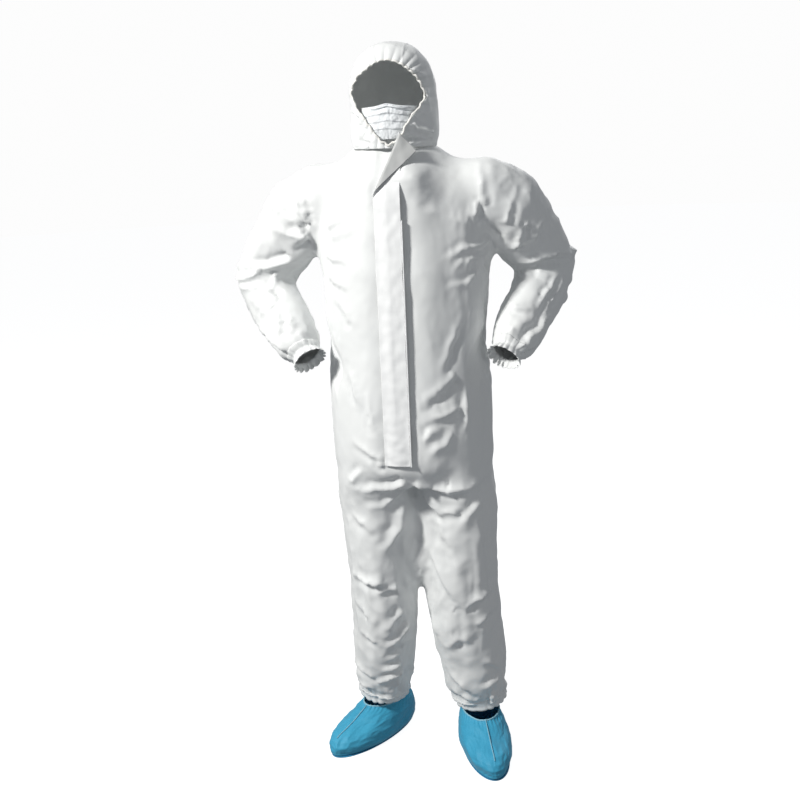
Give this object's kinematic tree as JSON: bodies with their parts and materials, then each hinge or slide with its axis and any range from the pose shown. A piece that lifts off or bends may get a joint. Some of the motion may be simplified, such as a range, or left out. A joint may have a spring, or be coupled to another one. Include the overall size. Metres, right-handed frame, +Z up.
{
  "type": "chemical protective suit",
  "caption": "Hooded protective coverall with elastic face, wrists and ankles, zip under a storm flap, overshoes and a face mask, shown standing as worn with hands on hips.",
  "frame": {"origin": "on the floor, below the middle of the bounding box of the standing suit", "axes": "+Z up, the chest faces -Y, the wearer's left is +X"},
  "size_m": [0.8302, 0.3571, 1.798],
  "materials": {
    "white_fabric": "matt microporous film laminate",
    "flap_fabric": "matt microporous film laminate, doubled",
    "elastic": "woven elastic",
    "zip_tape": "woven polyester",
    "zip_plastic": "satin nylon",
    "zip_metal": "white lacquered zinc",
    "adhesive": "release paper",
    "mask_fabric": "soft nonwoven",
    "overshoe_fabric": "crinkled nonwoven",
    "overshoe_sole": "embossed film",
    "overshoe_elastic": "bound elastic"
  },
  "bodies": {
    "torso": {"right_front_panel": "white_fabric", "right_back_panel": "white_fabric", "left_front_panel": "white_fabric", "left_back_panel": "white_fabric", "waist_elastic": "elastic", "right_zip_tape": "zip_tape", "right_zip_coil": "zip_plastic", "left_zip_tape": "zip_tape", "left_zip_coil": "zip_plastic", "zip_bottom_stop": "zip_plastic", "flap_seam": "flap_fabric", "flap_facing": "flap_fabric", "right_armhole_section": "white_fabric", "left_armhole_section": "white_fabric", "right_hip_section": "white_fabric", "left_hip_section": "white_fabric"},
    "hood": {"hood_right_panel": "white_fabric", "hood_middle_panel": "white_fabric", "hood_left_panel": "white_fabric", "face_elastic": "elastic", "mask_body": "mask_fabric", "mask_nose_wire": "mask_fabric", "mask_right_ear_loop": "elastic", "mask_left_ear_loop": "elastic"},
    "slider": {"zip_slider": "zip_metal", "pull_pin": "zip_metal"},
    "pull": {"zip_pull": "zip_metal"},
    "flap": {"storm_flap": "flap_fabric", "adhesive_tape": "adhesive"},
    "right_upper_arm": {"right_upper_sleeve": "white_fabric", "right_elbow_section": "white_fabric"},
    "right_forearm": {"right_forearm_sleeve": "white_fabric", "right_cuff_hem": "white_fabric", "right_cuff_elastic": "elastic"},
    "right_thigh": {"right_thigh_leg": "white_fabric", "right_knee_section": "white_fabric"},
    "right_shin": {"right_shin_leg": "white_fabric", "right_ankle_hem": "white_fabric", "right_ankle_elastic": "elastic"},
    "right_foot": {"right_overshoe_upper": "overshoe_fabric", "right_overshoe_sole": "overshoe_sole", "right_overshoe_elastic": "overshoe_elastic", "right_overshoe_seam": "overshoe_elastic"},
    "left_upper_arm": {"left_upper_sleeve": "white_fabric", "left_elbow_section": "white_fabric"},
    "left_forearm": {"left_forearm_sleeve": "white_fabric", "left_cuff_hem": "white_fabric", "left_cuff_elastic": "elastic"},
    "left_thigh": {"left_thigh_leg": "white_fabric", "left_knee_section": "white_fabric"},
    "left_shin": {"left_shin_leg": "white_fabric", "left_ankle_hem": "white_fabric", "left_ankle_elastic": "elastic"},
    "left_foot": {"left_overshoe_upper": "overshoe_fabric", "left_overshoe_sole": "overshoe_sole", "left_overshoe_elastic": "overshoe_elastic", "left_overshoe_seam": "overshoe_elastic"}
  },
  "joints": [
    {"name": "hood_flip", "type": "hinge", "parent": "torso", "child": "hood", "pos_m": [0.0031, 0.1042, 1.559], "axis": [-1, 0, 0], "range_deg": [0, 95]},
    {"name": "right_shoulder_lift", "type": "hinge", "parent": "torso", "child": "right_upper_arm", "pos_m": [-0.2129, 0.0002, 1.438], "axis": [0, 1, 0], "range_deg": [0, 65], "deforming": ["right_armhole_section"]},
    {"name": "right_elbow_straighten", "type": "hinge", "parent": "right_upper_arm", "child": "right_forearm", "pos_m": [-0.3699, 0.0842, 1.247], "axis": [0.6068, 0.7794, -0.156], "range_deg": [0, 86], "deforming": ["right_elbow_section"]},
    {"name": "right_hip_swing", "type": "hinge", "parent": "torso", "child": "right_thigh", "pos_m": [-0.0839, -0.0018, 0.868], "axis": [-1, 0, 0], "range_deg": [-10, 35], "deforming": ["right_hip_section"]},
    {"name": "right_knee_bend", "type": "hinge", "parent": "right_thigh", "child": "right_shin", "pos_m": [-0.0749, -0.0078, 0.44], "axis": [1, 0, 0], "range_deg": [0, 50], "deforming": ["right_knee_section"]},
    {"name": "right_ankle_tilt", "type": "hinge", "parent": "right_shin", "child": "right_foot", "pos_m": [-0.0969, 0.0522, 0.138], "axis": [1, 0, 0], "range_deg": [-8, 12]},
    {"name": "left_shoulder_lift", "type": "hinge", "parent": "torso", "child": "left_upper_arm", "pos_m": [0.2431, 0.0002, 1.438], "axis": [0, -1, 0], "range_deg": [0, 65], "deforming": ["left_armhole_section"]},
    {"name": "left_elbow_straighten", "type": "hinge", "parent": "left_upper_arm", "child": "left_forearm", "pos_m": [0.3671, 0.1322, 1.258], "axis": [0.8088, -0.5717, 0.1379], "range_deg": [0, 90], "deforming": ["left_elbow_section"]},
    {"name": "left_hip_swing", "type": "hinge", "parent": "torso", "child": "left_thigh", "pos_m": [0.1181, -0.0018, 0.868], "axis": [-1, 0, 0], "range_deg": [-10, 35], "deforming": ["left_hip_section"]},
    {"name": "left_knee_bend", "type": "hinge", "parent": "left_thigh", "child": "left_shin", "pos_m": [0.1281, -0.0078, 0.44], "axis": [1, 0, 0], "range_deg": [0, 50], "deforming": ["left_knee_section"]},
    {"name": "left_ankle_tilt", "type": "hinge", "parent": "left_shin", "child": "left_foot", "pos_m": [0.1641, 0.0372, 0.132], "axis": [1, 0, 0], "range_deg": [-8, 12]},
    {"name": "zip_slide", "type": "slide", "parent": "torso", "child": "slider", "axis": [0, -0.0177, -0.9998], "range_m": [0, 0.5987]},
    {"name": "pull_swing", "type": "hinge", "parent": "slider", "child": "pull", "pos_m": [0.0031, -0.14917, 1.446], "axis": [-1, 0, 0], "range_deg": [0, 150]},
    {"name": "flap_open", "type": "hinge", "parent": "torso", "child": "flap", "pos_m": [0.0351, -0.16464, 0.826], "axis": [0, 0.0177, 0.9998], "range_deg": [0, 150]}
  ]
}
